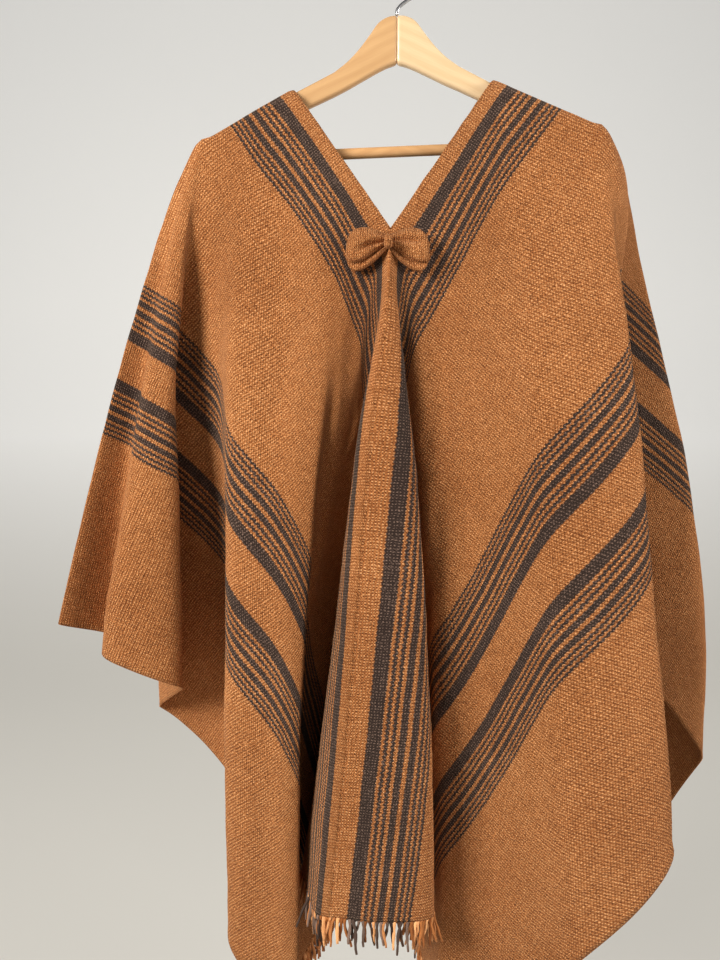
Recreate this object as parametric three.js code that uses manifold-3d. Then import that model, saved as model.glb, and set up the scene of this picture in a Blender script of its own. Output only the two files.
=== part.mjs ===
// Poncho of two straight handwoven panels on a wooden clothes hanger.
// Millimetres, +Z up, front towards -Y, origin where the hook hangs.
import * as THREE from 'three';
import { mergeVertices } from 'three/addons/utils/BufferGeometryUtils.js';
import Module from 'manifold-3d';

const wasm = await Module();
wasm.setup();

// Cut of the cloth
const PANEL_WIDTH = 655;      // from the centre seam out to the selvedge
const HALF_LENGTH = 925;      // from the shoulder down to the hem, front and back alike
const NECK_SLIT = 205;        // unsewn length each side of the shoulder
const CLOTH = 2.4;            // thickness of the handwoven wool
const SEAM_GAP = 0.5;         // air between the two panels at the seams
const ROLL_LINES = [0, 3.5, 7, 11, 22];  // grid lines either side of the shoulder
const CELLS_ALONG = 21;       // from the last of those down to the hem
const CELLS_ACROSS = 26;
const SOFTENING = 0.2;        // how far a grid line gives way to its neighbours at a fold
const SOFT_FROM = 60;         // down from the shoulder

// Hang of the cloth
const ROLL = 9.5;                        // radius of the bend over the hanger's arms
const NECK_POINT = [-8, -50, -285];      // lowest point of the neck at the front
const NAPE_POINT = [-8, 45, -285];       // lowest point of the neck at the back
const RIGHT_NECK = [105, 0, -118];
const RIGHT_SHOULDER = [205, -18, -166];
const LEFT_NECK = [-113, 0, -128];
const LEFT_SHOULDER = [-196, -18, -180];
const FOLD_LEVELS = [0, 60, 200, 500, 1000];
const RAY_LENGTH = 1160;
const RAY_STEP = 8;           // spacing of the worked-out points down a fold line
const RAYS_PER_FOLD = 12;

// Fringe at the four hems
const FRINGE_LENGTH = 27;
const FRINGE_ROOT = 1.9;      // radius of a strand at the hem
const FRINGE_TIP = 0.9;
const FRINGE_PER_HEM = 30;
const FRINGE_SWAY = 4;
const STRIP_HEIGHT = 3;
const HEM_GAP = 0.95;

// Bow at the foot of the neck opening
const BOW_X = -11;
const BOW_Z = -299;
const LOOP_START = 7.4;       // from the bow's middle out to the loop's root
const LOOP_SECTIONS = [
  { along: 0, height: 12, depth: 8, drop: 0 },
  { along: 4, height: 20, depth: 12, drop: 0.5 },
  { along: 11, height: 31, depth: 16, drop: 1.5 },
  { along: 19, height: 40, depth: 18, drop: 3 },
  { along: 26, height: 41, depth: 17, drop: 4.5 },
  { along: 31, height: 34, depth: 13, drop: 5.5 },
  { along: 34, height: 20, depth: 7, drop: 6 },
];
const KNOT_SECTIONS = [
  { along: -6.9, height: 17, depth: 11, drop: 0 },
  { along: -4, height: 24, depth: 17, drop: 0 },
  { along: 0, height: 27, depth: 20, drop: 0 },
  { along: 4, height: 24, depth: 17, drop: 0 },
  { along: 6.9, height: 17, depth: 11, drop: 0 },
];
const BOW_SEAT = 0.1;         // air between the bow and the cloth behind it
const BOW_SIDES = 12;

// Hanger
const ARM_THICKNESS = 10;
const ARM_ROUNDING = 3.2;
const ARM_SEAT = 4.9;         // from the cloth's top line down to the wood under its bend
const HALF_JOINT = 0.15;
const ARM_PROFILE = [
  { x: 0, top: -54, bottom: -102 },
  { x: 9, top: -54.6, bottom: -104 },
  { x: 20, top: -60, bottom: -108 },
  { x: 29, top: -71, bottom: -112 },
  { x: 38, top: -81.5, bottom: -116 },
  { x: 50, top: -93, bottom: -121.5 },
  { x: 66, top: -104, bottom: -128 },
];
const ARM_HEIGHT = 22;        // where the cloth covers it
const TIP_LENGTH = 28.5;      // of the deeper end that holds the bar
const TIP_DROP = 34;
const TIP_REACH = 1;          // past the shoulder tip
const BAR_RADIUS = 5.5;
const BAR_DROP = 20;          // of the bar's middle below the shoulder tips
const WIRE_RADIUS = 1.9;
const HOOK_RADIUS = 21.9;     // to the middle of the wire
const HOOK_START = -50;       // degrees
const HOOK_END = 205;
const SEAT = 0.3;

const DEGREE = Math.PI / 180;

// Each row is one fold line of the cloth. It starts at `from`, a distance along the path neck
// point, neck corner, shoulder tip, neck corner, nape, or the name of a corner of that path.
// It lies at `angle` degrees to the warp in the flat cut, 0 down the front seam and 180 up the
// back seam, and has moved by [across, back] at each of FOLD_LEVELS after the first.
const RIGHT_FOLDS = [
  { fold: 'seam', from: 'neckPoint', angle: 0, moved: [[-3, -22], [-18, -44], [-42, -68], [-92, -92]] },
  { fold: 'pleat edge', from: 'neckPoint', angle: 8.5, moved: [[8, -16], [24, -32], [42, -54], [52, -78]] },
  { fold: 'pleat valley', from: 'neckPoint', angle: 21, moved: [[4, -6], [0, 14], [0, 52], [0, 58]] },
  { fold: 'valley side', from: 'neckPoint', angle: 28, moved: [[12, -6], [16, 12], [24, 50], [30, 54]] },
  { fold: 'centre rise', from: 'neckPoint', angle: 39, moved: [[14, -3], [28, -9], [52, -14], [62, -16]] },
  { fold: 'front neck', from: 'neck', angle: 42, moved: [[4, -14], [18, -34], [50, -66], [95, -92]] },
  { fold: 'front fold', from: 'shoulder', angle: 42.5, moved: [[10, -6], [38, -18], [78, -36], [132, -54]] },
  { fold: 'tuck in', from: 'shoulder', angle: 64, moved: [[18, -6], [8, 0], [-36, 10], [-74, 10]] },
  { fold: 'tuck out', from: 'shoulder', angle: 84, moved: [[26, 1], [30, 10], [36, 25], [56, 30]] },
  { fold: 'second tuck in', from: 'shoulder', angle: 104, moved: [[30, 7], [16, 20], [-32, 48], [-56, 58]] },
  { fold: 'side', from: 'shoulder', angle: 136, moved: [[30, 11], [82, 26], [166, 42], [192, 44]] },
  { fold: 'back edge', from: 'shoulder', angle: 147, moved: [[8, 12], [34, 54], [86, 94], [130, 108]] },
  { fold: 'back neck', from: 'backNeck', angle: 144, moved: [[4, 6], [20, 30], [55, 52], [95, 62]] },
  { fold: 'back rise', from: 'nape', angle: 141, moved: [[15, 2], [30, 12], [62, 22], [97, 30]] },
  { fold: 'back valley side', from: 'nape', angle: 150, moved: [[14, 3], [22, 0], [40, -8], [58, -12]] },
  { fold: 'back valley', from: 'nape', angle: 157, moved: [[8, 3], [10, 0], [16, -10], [22, -16]] },
  { fold: 'back pleat', from: 'nape', angle: 168, moved: [[10, 16], [38, 34], [84, 52], [114, 62]] },
  { fold: 'back seam', from: 'nape', angle: 180, moved: [[0, 26], [0, 46], [0, 80], [0, 88]] },
];
const LEFT_FOLDS = [
  { fold: 'seam', from: 'neckPoint', angle: 0, moved: [[-3, -22], [-18, -44], [-42, -68], [-92, -92]] },
  { fold: 'pleat edge', from: 'neckPoint', angle: 2.5, moved: [[-6, -20], [-25, -40], [-55, -62], [-108, -80]] },
  { fold: 'pleat flank', from: 'neckPoint', angle: 10, moved: [[-8, -12], [-31, -22], [-68, -20], [-134, 72]] },
  { fold: 'pleat valley', from: 'neckPoint', angle: 19, moved: [[-7, -6], [-14, 14], [-24, 54], [-40, 60]] },
  { fold: 'valley side', from: 'neckPoint', angle: 26, moved: [[-14, -6], [-30, 12], [-54, 54], [-64, 60]] },
  { fold: 'centre tuck', from: 'neckPoint', angle: 40, moved: [[-15, -3], [-42, -3], [-104, 14], [-126, 14]] },
  { fold: 'front ridge', from: 95, angle: 41, moved: [[-4, -12], [-16, -36], [-37, -60], [-52, -66]] },
  { fold: 'front neck', from: 'neck', angle: 40, moved: [[-4, -14], [-10, -35], [-20, -74], [-28, -86]] },
  { fold: 'front fold', from: 245, angle: 41.5, moved: [[-8, -14], [-22, -34], [-36, -56], [-46, -66]] },
  { fold: 'fold back', from: 'shoulder', angle: 46, moved: [[-4, -4], [-6, 6], [-4, 36], [12, 58]] },
  { fold: 'side valley', from: 'shoulder', angle: 56, moved: [[-10, -4], [-40, 13], [-78, 38], [-84, 70]] },
  { fold: 'sleeve ridge', from: 'shoulder', angle: 67, moved: [[-12, -6], [-26, -16], [-34, -24], [-42, -34]] },
  { fold: 'sleeve belly', from: 'shoulder', angle: 76, moved: [[-18, -4], [-48, -18], [-108, -42], [-154, -60]] },
  { fold: 'sleeve crease', from: 'shoulder', angle: 81, moved: [[-22, 2], [-58, 0], [-112, -4], [-150, -4]] },
  { fold: 'sleeve edge', from: 'shoulder', angle: 88, moved: [[-30, 10], [-76, 0], [-152, -34], [-262, -52]] },
  { fold: 'sleeve back', from: 'shoulder', angle: 95, moved: [[-28, 14], [-66, 20], [-128, 14], [-210, 22]] },
  { fold: 'back tuck', from: 'shoulder', angle: 110, moved: [[-16, 16], [-34, 34], [-8, 60], [0, 84]] },
  { fold: 'back ridge', from: 'shoulder', angle: 128, moved: [[-16, 14], [-56, 46], [-100, 105], [40, 134]] },
  { fold: 'back edge', from: 'shoulder', angle: 140, moved: [[-8, 10], [-26, 46], [-14, 112], [-10, 130]] },
  { fold: 'back neck', from: 'backNeck', angle: 141, moved: [[-4, 6], [-18, 34], [-40, 58], [-70, 70]] },
  { fold: 'middle of the back', from: 470, angle: 141, moved: [[-6, 10], [-18, 46], [-58, 96], [-84, 106]] },
  { fold: 'back rise', from: 'nape', angle: 141, moved: [[-15, 2], [-30, 12], [-62, 22], [-97, 30]] },
  { fold: 'back valley side', from: 'nape', angle: 150, moved: [[-14, 3], [-22, 0], [-40, -8], [-58, -12]] },
  { fold: 'back valley', from: 'nape', angle: 157, moved: [[-8, 3], [-10, 0], [-16, -10], [-22, -16]] },
  { fold: 'back pleat', from: 'nape', angle: 168, moved: [[-10, 16], [-38, 34], [-84, 52], [-114, 62]] },
  { fold: 'back seam', from: 'nape', angle: 180, moved: [[0, 26], [0, 46], [0, 80], [0, 88]] },
];

const colour = (hex, roughness) => new THREE.MeshStandardMaterial({ color: hex, roughness, metalness: 0 });
const WOOL = colour(0xb5763f, 0.95);
const FRINGE_WOOL = colour(0x9c6638, 0.95);
const WOOD = colour(0xdcb07c, 0.55);
const STEEL = new THREE.MeshStandardMaterial({ color: 0xc4c6c8, roughness: 0.25, metalness: 1 });

const clamp = (value, low, high) => Math.min(Math.max(value, low), high);
const mix = (a, b, share) => a.map((value, k) => value + (b[k] - value) * share);
const add = (a, b, times = 1) => a.map((value, k) => value + b[k] * times);
const minus = (a, b) => add(a, b, -1);
const size = (a) => Math.hypot(...a);
const dot = (a, b) => a[0] * b[0] + a[1] * b[1] + a[2] * b[2];
const unit = (a) => a.map((value) => value / (size(a) || 1));
const cross = (a, b) => [
  a[1] * b[2] - a[2] * b[1],
  a[2] * b[0] - a[0] * b[2],
  a[0] * b[1] - a[1] * b[0],
];

// A smooth curve through values at knots, read at one place
function smoothCurve(knots, values) {
  const step = knots.slice(1).map((knot, k) => knot - knots[k]);
  const slope = step.map((width, k) => values[k + 1].map((value, c) => (value - values[k][c]) / width));
  const tangent = values.map((_, k) => {
    if (k === 0) return slope[0];
    if (k === values.length - 1) return slope[k - 1];
    const whole = step[k - 1] + step[k];
    return slope[k].map((value, c) => (slope[k - 1][c] * step[k] + value * step[k - 1]) / whole);
  });
  const end = knots.length - 1;
  return (place) => {
    if (place > knots[end]) return add(values[end], tangent[end], place - knots[end]);
    let k = 0;
    while (k < knots.length - 2 && place >= knots[k + 1]) k += 1;
    const t = (place - knots[k]) / step[k];
    const start = (1 + 2 * t) * (1 - t) ** 2;
    const startSlope = t * (1 - t) ** 2 * step[k];
    const finish = t * t * (3 - 2 * t);
    const finishSlope = t * t * (t - 1) * step[k];
    return values[k].map((value, c) => start * value + startSlope * tangent[k][c]
      + finish * values[k + 1][c] + finishSlope * tangent[k + 1][c]);
  };
}

// The fold lines of one panel, filled in between its table's rows, each as a row of 3-D points
function foldRays(rows, neck, shoulder, side) {
  const shoulderLength = size(minus(shoulder, neck));
  const corner = {
    neckPoint: 0,
    neck: NECK_SLIT,
    shoulder: NECK_SLIT + shoulderLength,
    backNeck: NECK_SLIT + 2 * shoulderLength,
    nape: 2 * NECK_SLIT + 2 * shoulderLength,
  };
  const from = rows.map((row) => corner[row.from] ?? row.from);
  const moved = rows.map((row) => [0, 0, ...row.moved.flat()]);
  const knots = [0];
  rows.slice(1).forEach((row, k) => {
    const reach = Math.hypot(moved[k + 1][6] - moved[k][6], moved[k + 1][7] - moved[k][7]);
    knots.push(knots[k] + Math.sqrt(reach + 0.7 * Math.abs(from[k + 1] - from[k]) + 4));
  });
  const across = smoothCurve(knots, moved);
  const rays = [];
  rows.slice(1).forEach((row, k) => {
    const places = Array.from({ length: RAYS_PER_FOLD + 1 }, (_, n) => n / RAYS_PER_FOLD);
    const moves = places.map((share) => across(knots[k] + (knots[k + 1] - knots[k]) * share));
    const arc = [0];
    moves.slice(1).forEach((move, n) => {
      const start = 0.6 * (from[k + 1] - from[k]) / RAYS_PER_FOLD;
      arc.push(arc[n] + Math.hypot(move[6] - moves[n][6], move[7] - moves[n][7], start));
    });
    places.forEach((_, n) => {
      if (n === RAYS_PER_FOLD && k < rows.length - 2) return;
      const share = arc[n] / arc[RAYS_PER_FOLD];
      rays.push({
        start: from[k] + (from[k + 1] - from[k]) * share,
        angle: (rows[k].angle + (rows[k + 1].angle - rows[k].angle) * share) * DEGREE,
        moved: moves[n],
      });
    });
  });
  const atTip = rays.filter((ray) => Math.abs(ray.start - corner.shoulder) < 1e-6);
  const firstAngle = atTip[0].angle;
  const lastAngle = atTip[atTip.length - 1].angle;
  rays.forEach((ray) => {
    const onBack = ray.start > corner.shoulder;
    ray.along = Math.max(NECK_SLIT - ray.start, 0) - Math.max(ray.start - corner.backNeck, 0);
    ray.out = clamp(onBack ? corner.backNeck - ray.start : ray.start - NECK_SLIT, 0, shoulderLength);
    let top = mix(neck, shoulder, ray.out / shoulderLength);
    const low = ray.along > 0 ? NECK_POINT : NAPE_POINT;
    top = add(top, minus(low, neck), Math.abs(ray.along) / NECK_SLIT);
    const drop = ray.along === 0 ? 0 : neck[2] - top[2];
    let turn = onBack ? Math.PI : 0;
    if (Math.abs(ray.start - corner.shoulder) < 1e-6) {
      turn = Math.PI * (ray.angle - firstAngle) / (lastAngle - firstAngle);
    }
    const bend = [side * Math.sin(turn), -Math.cos(turn)];
    const levels = FOLD_LEVELS.map((_, k) => ray.moved.slice(2 * k, 2 * k + 2));
    const path = smoothCurve(FOLD_LEVELS, levels);
    ray.points = [];
    let fallen = 0;
    let last = [0, 0];
    for (let reach = 0; reach <= RAY_LENGTH; reach += RAY_STEP) {
      const place = path(reach);
      const sideways = Math.hypot(place[0] - last[0], place[1] - last[1]) / RAY_STEP;
      if (reach > 0) fallen += Math.sqrt(Math.max(1 - sideways * sideways, 0.15)) * RAY_STEP;
      const total = drop + fallen;
      const rolled = Math.min(total / ROLL, Math.PI / 2);
      const bulge = ROLL * Math.sin(rolled);
      ray.points.push([
        top[0] + place[0] + bend[0] * bulge,
        top[1] + place[1] + bend[1] * bulge,
        top[2] + drop - ROLL * (1 - Math.cos(rolled)) - total + ROLL * rolled,
      ]);
      last = place;
    }
  });
  return rays;
}

// Where a point of the flat panel hangs: `along` is the way down the front, less than 0 behind
function hangPoint(rays, along, out) {
  const beyond = rays.map((ray) => Math.cos(ray.angle) * (out - ray.out)
    - Math.sin(ray.angle) * (along - ray.along));
  let k = 0;
  if (along >= 0) {
    while (k < rays.length - 2 && beyond[k + 1] >= -1e-9) k += 1;
  } else {
    k = rays.length - 2;
    while (k > 0 && beyond[k] < -1e-9) k -= 1;
  }
  const span = beyond[k] - beyond[k + 1];
  const share = Math.abs(span) < 1e-9 ? 0 : clamp(beyond[k] / span, 0, 1);
  const onRay = (ray) => {
    const reach = (along - ray.along) * Math.cos(ray.angle) + (out - ray.out) * Math.sin(ray.angle);
    const cell = clamp(reach / RAY_STEP, 0, ray.points.length - 1.001);
    const low = Math.floor(cell);
    return mix(ray.points[low], ray.points[low + 1], cell - low);
  };
  return mix(onRay(rays[k]), onRay(rays[k + 1]), share);
}

const panels = {
  right: { side: 1, rays: foldRays(RIGHT_FOLDS, RIGHT_NECK, RIGHT_SHOULDER, 1) },
  left: { side: -1, rays: foldRays(LEFT_FOLDS, LEFT_NECK, LEFT_SHOULDER, -1) },
};

// The outward direction at each point of a panel's grid, from the cells around it. It is longer
// over a fold, where it keeps the wall's thickness. Along the seams both panels share it.
function outwardGrid(panel, outer) {
  const facing = outer.slice(1).map((row, i) => row.slice(1).map((point, j) => (
    unit(cross(minus(outer[i][j + 1], row[j]), minus(point, outer[i][j])))
      .map((value) => value * panel.side))));
  return outer.map((row, i) => row.map((point, j) => {
    if (j === 0 && Math.abs(alongLines[i]) > NECK_SLIT) {
      const down = minus(outer[Math.max(i - 1, 0)][0], outer[Math.min(i + 1, outer.length - 1)][0]);
      return unit([0, down[2], -down[1]]);
    }
    const around = [[i - 1, j - 1], [i - 1, j], [i, j - 1], [i, j]]
      .map(([r, c]) => facing[r]?.[c])
      .filter(Boolean);
    const middle = unit(around.reduce((sum, value) => add(sum, value)));
    const level = around.reduce((sum, value) => sum + dot(middle, value), 0) / around.length;
    return middle.map((value) => value / Math.max(level, 0.5));
  }));
}

// How squarely a triangle of the outer grid faces the way that the wall's thickness lies
function squareness(points, depth, face) {
  const [a, b, c] = face.map((n) => points[n]);
  const normal = unit(cross(minus(b, a), minus(c, a)));
  return face.map((n) => dot(normal, depth[n]));
}

// A closed wall from a grid of outer and inner points. Each cell is cut in two along the diagonal
// that suits the fold in it.
function wall(outer, inner) {
  const rows = outer.length;
  const columns = outer[0].length;
  const layerSize = rows * columns;
  const points = [...outer.flat(), ...inner.flat()];
  const depth = outer.flat().map((point, n) => unit(minus(point, points[layerSize + n])));
  const index = (row, column, layer) => layer * layerSize + row * columns + column;
  const cells = outer.slice(1).flatMap((_, row) => outer[0].slice(1).map((__, column) => [
    index(row, column, 0), index(row + 1, column, 0),
    index(row + 1, column + 1, 0), index(row, column + 1, 0),
  ]));
  const total = cells.flatMap(([a, b, c]) => squareness(points, depth, [a, b, c]));
  const sign = Math.sign(total.reduce((sum, value) => sum + value));
  const faces = [];
  const quad = (a, b, c, d) => faces.push([a, b, c], [a, c, d]);
  cells.forEach(([a, b, c, d]) => {
    const cuts = [[[a, b, c], [a, c, d]], [[a, b, d], [b, c, d]]];
    const worst = cuts.map((cut) => (
      Math.min(...cut.flatMap((face) => squareness(points, depth, face).map((value) => value * sign)))));
    const best = worst[0] >= worst[1] ? cuts[0] : cuts[1];
    faces.push(...best, ...best.map((face) => face.map((n) => n + layerSize).reverse()));
  });
  for (let row = 0; row < rows - 1; row += 1) {
    quad(index(row, 0, 0), index(row, 0, 1), index(row + 1, 0, 1), index(row + 1, 0, 0));
    const edge = columns - 1;
    quad(index(row, edge, 1), index(row, edge, 0), index(row + 1, edge, 0), index(row + 1, edge, 1));
  }
  for (let column = 0; column < columns - 1; column += 1) {
    const end = rows - 1;
    quad(index(0, column, 1), index(0, column, 0), index(0, column + 1, 0), index(0, column + 1, 1));
    quad(index(end, column, 0), index(end, column, 1), index(end, column + 1, 1), index(end, column + 1, 0));
  }
  return solid(points, faces);
}

// A geometry whose faces are turned to point out
function solid(points, faces) {
  const volume = faces.reduce((sum, [a, b, c]) => {
    const normal = cross(points[b], points[c]);
    return sum + points[a][0] * normal[0] + points[a][1] * normal[1] + points[a][2] * normal[2];
  }, 0);
  const turned = volume < 0 ? faces.map(([a, b, c]) => [a, c, b]) : faces;
  const geometry = new THREE.BufferGeometry();
  geometry.setAttribute('position', new THREE.Float32BufferAttribute(points.flat(), 3));
  geometry.setIndex(turned.flat());
  return geometry;
}

const poncho = new THREE.Group();
function addPiece(name, geometry, material) {
  const mesh = new THREE.Mesh(geometry, material);
  mesh.name = name;
  poncho.add(mesh);
  return mesh;
}

// The cloth stays on its own side of the seam's middle plane
function seamSafe(panel, along, point, out) {
  if (Math.abs(along) <= NECK_SLIT - 20 || out > 0.001) return point;
  return add(point, [panel.side * SEAM_GAP / 2, 0, 0]);
}

const evenly = (count, low, high) => (
  Array.from({ length: count + 1 }, (_, k) => low + (high - low) * k / count));

const frontLines = [...ROLL_LINES, ...evenly(CELLS_ALONG, ROLL_LINES[4], HALF_LENGTH).slice(1)];
const alongLines = [...frontLines.slice(1).reverse(), ...frontLines.map((along) => -along)];
const outLines = evenly(CELLS_ACROSS, 0, PANEL_WIDTH);

function clothGrid(panel) {
  const hung = alongLines.map((along) => outLines.map((out) => (
    seamSafe(panel, along, hangPoint(panel.rays, along, out), out))));
  const outer = hung.map((row, i) => row.map((point, j) => {
    if (Math.abs(alongLines[i]) < SOFT_FROM || j === 0 || j === CELLS_ACROSS) return point;
    return mix(point, mix(row[j - 1], row[j + 1], 0.5), SOFTENING);
  }));
  const facing = outwardGrid(panel, outer);
  const inner = outer.map((row, i) => row.map((point, j) => add(point, facing[i][j], -CLOTH)));
  return { outer, inner, facing };
}

for (const panel of Object.values(panels)) panel.grid = clothGrid(panel);

function makePanel(name) {
  const { outer, inner } = panels[name].grid;
  addPiece(`panel_${name}`, wall(outer, inner), WOOL);
}

// A closed body through rings of equally many points, with flat ends
function loft(rings) {
  const sides = rings[0].length;
  const points = rings.flat();
  const faces = [];
  rings.slice(1).forEach((_, k) => {
    for (let n = 0; n < sides; n += 1) {
      const a = k * sides + n;
      const b = k * sides + (n + 1) % sides;
      faces.push([a, b, b + sides], [a, b + sides, a + sides]);
    }
  });
  const last = (rings.length - 1) * sides;
  for (let n = 1; n < sides - 1; n += 1) {
    faces.push([0, n + 1, n], [last, last + n, last + n + 1]);
  }
  return solid(points, faces);
}

const toManifold = (geometry) => {
  const plain = geometry.clone();
  ['normal', 'uv'].forEach((key) => plain.deleteAttribute(key));
  const merged = mergeVertices(plain, 1e-4);
  return new wasm.Manifold(new wasm.Mesh({
    numProp: 3,
    vertProperties: Float32Array.from(merged.attributes.position.array),
    triVerts: Uint32Array.from(merged.index.array),
  }));
};
const fromManifold = (body) => {
  const mesh = body.getMesh();
  const geometry = new THREE.BufferGeometry();
  geometry.setAttribute('position', new THREE.BufferAttribute(mesh.vertProperties.slice(), 3));
  geometry.setIndex(new THREE.BufferAttribute(mesh.triVerts.slice(), 1));
  return geometry;
};

// One hem's fringe: three-sided strands fused to a narrow strip just off the cloth's edge
function makeFringe(name, side, hem) {
  const panel = panels[side];
  const hemDown = (out) => {
    const edge = hangPoint(panel.rays, hem, out);
    return unit(minus(edge, hangPoint(panel.rays, hem * 0.985, out)));
  };
  const stripRow = (reach) => outLines.map((out) => (
    seamSafe(panel, hem, add(hangPoint(panel.rays, hem, out), hemDown(out), reach), out)));
  const outer = [stripRow(HEM_GAP), stripRow(HEM_GAP + STRIP_HEIGHT)];
  const facing = panel.grid.facing[hem > 0 ? 0 : alongLines.length - 1];
  const inner = outer.map((row) => row.map((point, j) => add(point, facing[j], -CLOTH)));
  let fringe = toManifold(wall(outer, inner));
  for (let k = 0; k < FRINGE_PER_HEM; k += 1) {
    const out = PANEL_WIDTH * (k + 0.5) / FRINGE_PER_HEM;
    const cell = Math.floor(out / PANEL_WIDTH * CELLS_ACROSS);
    const share = out / PANEL_WIDTH * CELLS_ACROSS - cell;
    const middleOf = (row) => mix(
      mix(outer[row][cell], outer[row][cell + 1], share),
      mix(inner[row][cell], inner[row][cell + 1], share),
      0.5,
    );
    const top = mix(middleOf(0), middleOf(1), 0.35);
    const across = unit(minus(outer[1][cell + 1], outer[1][cell]));
    const out3 = unit(mix(facing[cell], facing[cell + 1], share));
    const sway = Math.sin(k * 2.4) * FRINGE_SWAY;
    const tip = add(add(top, hemDown(out), FRINGE_LENGTH), across, sway);
    const ring = (centre, radius) => [0, 1, 2].map((corner) => {
      const turn = corner * 120 * DEGREE;
      return add(add(centre, across, radius * Math.cos(turn)), out3, radius * 0.6 * Math.sin(turn));
    });
    fringe = fringe.add(toManifold(loft([ring(top, FRINGE_ROOT), ring(tip, FRINGE_TIP)])));
  }
  addPiece(name, fromManifold(fringe), FRINGE_WOOL);
}

// How far forward the cloth reaches around a spot near the foot of the neck opening
const BOW_CLOTH = Object.values(panels).flatMap(({ grid }) => alongLines.slice(1).flatMap((along, i) => {
  if (along < 100 || along > 400) return [];
  return evenly(8, 0, 1).flatMap((down) => evenly(24, 0, 4).map((across) => {
    const cell = Math.min(Math.floor(across), 3);
    const onLine = (row) => mix(row[cell], row[cell + 1], across - cell);
    return mix(onLine(grid.outer[i + 1]), onLine(grid.outer[i]), down);
  }));
}));
function clothFront(x, z, halfWidth, halfHeight) {
  const near = BOW_CLOTH.filter((point) => (
    Math.abs(point[0] - x) <= halfWidth && Math.abs(point[2] - z) <= halfHeight));
  return Math.min(...near.map((point) => point[1]));
}

// A padded piece of the bow, lying on the cloth
function makeBowPiece(name, sections, side, start) {
  const reach = (section) => BOW_X + side * (start + section.along);
  const behind = sections.map((section) => clothFront(
    reach(section), BOW_Z - section.drop, 6, section.height / 2));
  const rings = sections.map((section, k) => {
    const y = behind[k] - BOW_SEAT - section.depth / 2;
    return Array.from({ length: BOW_SIDES }, (_, n) => {
      const turn = n / BOW_SIDES * 2 * Math.PI;
      return [
        reach(section),
        y + section.depth / 2 * Math.sin(turn),
        BOW_Z - section.drop + section.height / 2 * Math.cos(turn),
      ];
    });
  });
  addPiece(name, loft(rings), WOOL);
}

// One wooden arm, from the joint in the middle to the tip that holds the bar
function makeArm(name, neck, shoulder) {
  const side = Math.sign(neck[0]);
  const neckX = Math.abs(neck[0]);
  const tipX = Math.abs(shoulder[0]);
  const tilt = (neck[2] - RIGHT_NECK[2]) / neckX;
  const middle = ARM_PROFILE.map(({ x, top, bottom }) => ({
    x: Math.max(x, HALF_JOINT), top: top + tilt * x, bottom: bottom + tilt * x,
  }));
  const topAt = (x) => neck[2] + (shoulder[2] - neck[2]) * (x - neckX) / (tipX - neckX) - ARM_SEAT;
  const tipStart = tipX - TIP_LENGTH;
  const covered = evenly(4, neckX, tipStart)
    .map((x) => ({ x, top: topAt(x), bottom: topAt(x) - ARM_HEIGHT }));
  const tip = [tipStart + SEAT, tipX - 8, tipX]
    .map((x) => ({ x, top: topAt(x), bottom: shoulder[2] - TIP_DROP }));
  const end = { x: tipX + TIP_REACH, top: topAt(tipX) - 3, bottom: shoulder[2] - TIP_DROP + 3 };
  const rings = [...middle, ...covered, ...tip, end].map(({ x, top, bottom }) => {
    const forward = shoulder[1] * clamp((x - neckX) / (tipX - neckX), 0, 1);
    const half = ARM_THICKNESS / 2;
    const r = ARM_ROUNDING;
    return [
      [-half, top - r], [-half + r, top], [half - r, top], [half, top - r],
      [half, bottom + r], [half - r, bottom], [-half + r, bottom], [-half, bottom + r],
    ].map(([y, z]) => [side * x, forward + y, z]);
  });
  addPiece(name, loft(rings), WOOD);
}

function makeBar() {
  const end = (shoulder) => {
    const side = Math.sign(shoulder[0]);
    const neck = side > 0 ? RIGHT_NECK : LEFT_NECK;
    const x = Math.abs(shoulder[0]) - TIP_LENGTH - 2 * SEAT;
    const share = (x - Math.abs(neck[0])) / (Math.abs(shoulder[0]) - Math.abs(neck[0]));
    return new THREE.Vector3(side * x, shoulder[1] * share, shoulder[2] - BAR_DROP);
  };
  const path = new THREE.LineCurve3(end(LEFT_SHOULDER), end(RIGHT_SHOULDER));
  const round = new THREE.Shape().absarc(0, 0, BAR_RADIUS, 0, 2 * Math.PI);
  const options = { steps: 1, curveSegments: 6, extrudePath: path, bevelEnabled: false };
  addPiece('hanger_bar', new THREE.ExtrudeGeometry(round, options), WOOD);
}

// The wire hook rises from the joint and curls over what it hangs on
function makeHook() {
  const centreZ = WIRE_RADIUS - HOOK_RADIUS;
  const foot = ARM_PROFILE[0].top + SEAT;
  const points = [new THREE.Vector3(0, 0, foot), new THREE.Vector3(0, 0, foot + 5)];
  evenly(10, HOOK_START, HOOK_END).forEach((degrees) => {
    const turn = degrees * DEGREE;
    points.push(new THREE.Vector3(HOOK_RADIUS * Math.cos(turn), 0, centreZ + HOOK_RADIUS * Math.sin(turn)));
  });
  const path = new THREE.CatmullRomCurve3(points);
  const round = new THREE.Shape().absarc(0, 0, WIRE_RADIUS, 0, 2 * Math.PI);
  const options = { steps: 30, curveSegments: 4, extrudePath: path, bevelEnabled: false };
  addPiece('hanger_hook', new THREE.ExtrudeGeometry(round, options), STEEL);
}

makePanel('right');
makePanel('left');
makeFringe('fringe_front_right', 'right', HALF_LENGTH);
makeFringe('fringe_back_right', 'right', -HALF_LENGTH);
makeFringe('fringe_front_left', 'left', HALF_LENGTH);
makeFringe('fringe_back_left', 'left', -HALF_LENGTH);
makeBowPiece('bow_right', LOOP_SECTIONS, 1, LOOP_START);
makeBowPiece('bow_left', LOOP_SECTIONS, -1, LOOP_START);
makeBowPiece('bow_knot', KNOT_SECTIONS, 1, 0);
makeArm('hanger_arm_right', RIGHT_NECK, RIGHT_SHOULDER);
makeArm('hanger_arm_left', LEFT_NECK, LEFT_SHOULDER);
makeBar();
makeHook();

export default poncho;
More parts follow.
